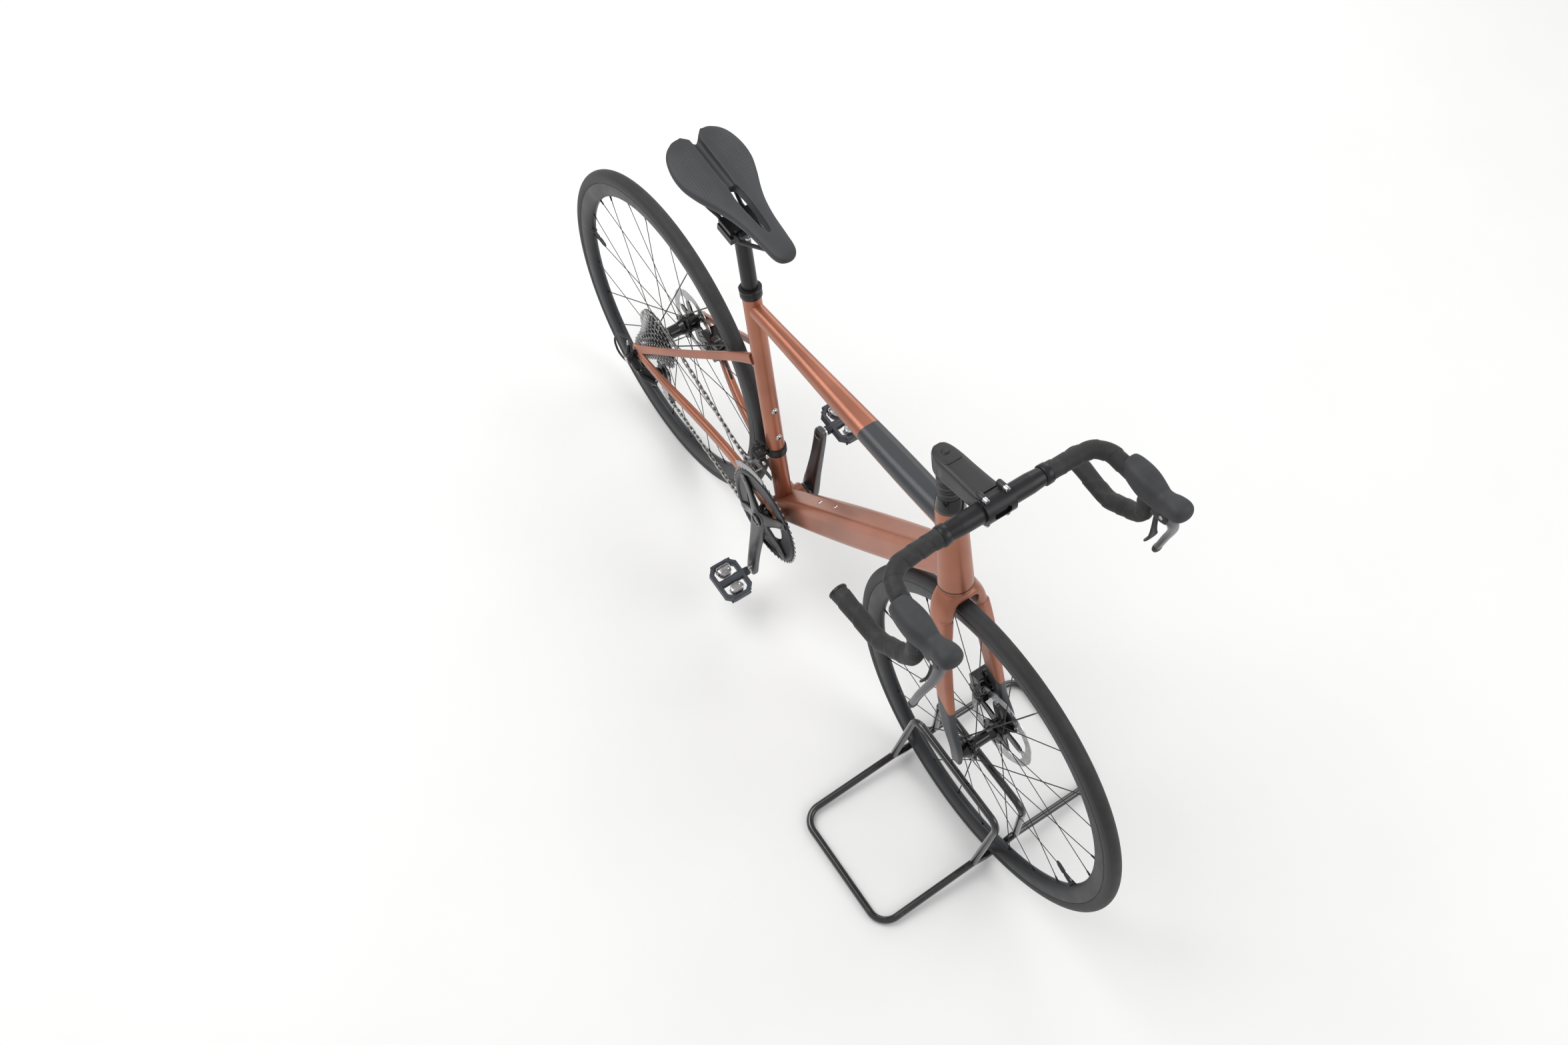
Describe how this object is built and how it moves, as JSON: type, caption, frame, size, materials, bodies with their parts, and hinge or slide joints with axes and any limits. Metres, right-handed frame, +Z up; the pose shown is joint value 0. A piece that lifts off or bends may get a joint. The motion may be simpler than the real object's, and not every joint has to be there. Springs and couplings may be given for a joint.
{
  "type": "bicycle on stand",
  "caption": "Drop-bar road bicycle with disc brakes, its front wheel held upright between the hoops of a tubular floor stand.",
  "frame": {"origin": "on the floor, midway between the two wheel axles and on the wheels' middle plane", "axes": "+X towards the front wheel, +Y to the rider's left, +Z up; the chain is on the -Y side"},
  "size_m": [1.678, 0.53, 0.9818],
  "materials": {
    "tyre_rubber": "matte",
    "rim_satin": "satin",
    "hub_black": "satin",
    "spoke_black": "satin",
    "rotor_steel": "brushed",
    "cassette_steel": "satin",
    "frame_paint": "satin metallic",
    "cockpit_black": "satin",
    "bolt_chrome": "polished",
    "bar_tape": "matte",
    "hood_rubber": "matte",
    "lever_grey": "satin",
    "saddle_cover": "matte",
    "rail_black": "satin",
    "crank_grey": "satin",
    "ring_grey": "satin",
    "pedal_grey": "matte",
    "chain_steel": "satin",
    "derailleur_black": "satin",
    "cage_grey": "satin",
    "pulley_plastic": "matte",
    "cable_black": "satin",
    "stand_paint": "gloss"
  },
  "bodies": {
    "stand": {"stand_cross_front": "stand_paint", "stand_cross_rear": "stand_paint", "stand_hoop_drive": "stand_paint", "stand_hoop_left": "stand_paint", "stand_loop_drive": "stand_paint", "stand_loop_left": "stand_paint"},
    "front_end": {"fork": "frame_paint", "front_axle": "hub_black", "headset": "cockpit_black", "stem": "cockpit_black", "stem_faceplate": "cockpit_black", "stem_bolts": "bolt_chrome", "handlebar": "cockpit_black", "bar_tape": "bar_tape", "hood_drive": "hood_rubber", "hood_left": "hood_rubber", "front_caliper": "derailleur_black", "front_hoses": "cable_black"},
    "front_wheel": {"front_tyre": "tyre_rubber", "front_rim": "rim_satin", "front_hub": "hub_black", "front_spokes": "spoke_black", "front_rotor": "rotor_steel"},
    "lever_drive": {"brake_lever_drive": "lever_grey"},
    "lever_left": {"brake_lever_left": "lever_grey"},
    "paddle_drive": {"shift_paddle_drive": "lever_grey"},
    "paddle_left": {"shift_paddle_left": "lever_grey"},
    "frame": {"head_tube": "frame_paint", "top_tube": "frame_paint", "down_tube": "frame_paint", "seat_tube": "frame_paint", "chain_stays": "frame_paint", "seat_stays": "frame_paint", "seat_collar": "cockpit_black", "bottom_bracket": "cockpit_black", "rear_axle": "hub_black", "rear_caliper": "derailleur_black", "rear_derailleur": "derailleur_black", "front_derailleur": "derailleur_black", "chain": "chain_steel", "frame_cables": "cable_black"},
    "rear_wheel": {"rear_tyre": "tyre_rubber", "rear_rim": "rim_satin", "rear_hub": "hub_black", "rear_spokes": "spoke_black", "rear_rotor": "rotor_steel"},
    "cassette_body": {"cassette": "cassette_steel"},
    "crankset": {"crank_drive": "crank_grey", "crank_left": "crank_grey", "chainrings": "ring_grey", "pedal_axles": "hub_black"},
    "pedal_drive_body": {"pedal_drive": "pedal_grey"},
    "pedal_left_body": {"pedal_left": "pedal_grey"},
    "cage": {"rd_cage": "cage_grey"},
    "guide_wheel": {"guide_pulley": "pulley_plastic"},
    "tension_wheel": {"tension_pulley": "pulley_plastic"},
    "front_shifter_cage": {"fd_cage": "cage_grey"},
    "post": {"seatpost": "cockpit_black", "saddle": "saddle_cover", "saddle_rails": "rail_black"}
  },
  "joints": [
    {"name": "lift_out", "type": "slide", "parent": "stand", "child": "front_end", "axis": [0, 0, 1], "range_m": [0, 0.25]},
    {"name": "front_wheel_spin", "type": "hinge", "parent": "front_end", "child": "front_wheel", "pos_m": [0.5, 0, 0.339], "axis": [0, 1, 0], "continuous": true},
    {"name": "steering", "type": "hinge", "parent": "front_end", "child": "frame", "pos_m": [0.31814, 0, 0.75307], "axis": [-0.309, 0, 0.9511], "range_deg": [-40, 40]},
    {"name": "rear_wheel_spin", "type": "hinge", "parent": "frame", "child": "rear_wheel", "pos_m": [-0.5, 0, 0.339], "axis": [0, 1, 0], "continuous": true},
    {"name": "crank_spin", "type": "hinge", "parent": "frame", "child": "crankset", "pos_m": [-0.094, 0, 0.268], "axis": [0, 1, 0], "continuous": true, "deforming": ["chain"]},
    {"name": "cassette_spin", "type": "hinge", "parent": "frame", "child": "cassette_body", "pos_m": [-0.5, 0, 0.339], "axis": [0, 1, 0], "continuous": true},
    {"name": "pedal_drive_spin", "type": "hinge", "parent": "crankset", "child": "pedal_drive_body", "pos_m": [-0.08497, -0.085, 0.09574], "axis": [0, 1, 0], "continuous": true},
    {"name": "pedal_left_spin", "type": "hinge", "parent": "crankset", "child": "pedal_left_body", "pos_m": [-0.10303, 0.085, 0.44026], "axis": [0, 1, 0], "continuous": true},
    {"name": "cage_swing", "type": "hinge", "parent": "frame", "child": "cage", "pos_m": [-0.486, -0.0263, 0.249], "axis": [0, 1, 0], "range_deg": [-20, 25], "stiffness_Nm_per_rad": 0.6, "deforming": ["chain"]},
    {"name": "guide_pulley_spin", "type": "hinge", "parent": "cage", "child": "guide_wheel", "pos_m": [-0.486, -0.0263, 0.249], "axis": [0, 1, 0], "continuous": true},
    {"name": "tension_pulley_spin", "type": "hinge", "parent": "cage", "child": "tension_wheel", "pos_m": [-0.46746, -0.0263, 0.19194], "axis": [0, 1, 0], "continuous": true},
    {"name": "front_shift", "type": "slide", "parent": "frame", "child": "front_shifter_cage", "axis": [0, -1, 0], "range_m": [0, 0.0055], "stiffness_N_per_m": 400, "springref_m": -0.003},
    {"name": "saddle_height", "type": "slide", "parent": "frame", "child": "post", "axis": [-0.2756, 0, 0.9613], "range_m": [-0.08, 0.05]},
    {"name": "brake_drive", "type": "hinge", "parent": "front_end", "child": "lever_drive", "pos_m": [0.507, -0.201, 0.942], "axis": [0, 1, 0], "range_deg": [0, 12], "stiffness_Nm_per_rad": 1.5, "springref_deg": -11.46},
    {"name": "shift_drive", "type": "hinge", "parent": "lever_drive", "child": "paddle_drive", "pos_m": [0.491, -0.198, 0.933], "axis": [1, 0, 0], "range_deg": [0, 12], "stiffness_Nm_per_rad": 0.5, "springref_deg": -8.59},
    {"name": "brake_left", "type": "hinge", "parent": "front_end", "child": "lever_left", "pos_m": [0.507, 0.201, 0.942], "axis": [0, 1, 0], "range_deg": [0, 12], "stiffness_Nm_per_rad": 1.5, "springref_deg": -11.46},
    {"name": "shift_left", "type": "hinge", "parent": "lever_left", "child": "paddle_left", "pos_m": [0.491, 0.198, 0.933], "axis": [-1, 0, 0], "range_deg": [0, 12], "stiffness_Nm_per_rad": 0.5, "springref_deg": -8.59}
  ],
  "couplings": [
    {"joint": "cassette_spin", "follows": "crank_spin", "ratio": 1.2},
    {"joint": "guide_pulley_spin", "follows": "crank_spin", "ratio": -3.2727},
    {"joint": "tension_pulley_spin", "follows": "crank_spin", "ratio": 3.2727}
  ]
}
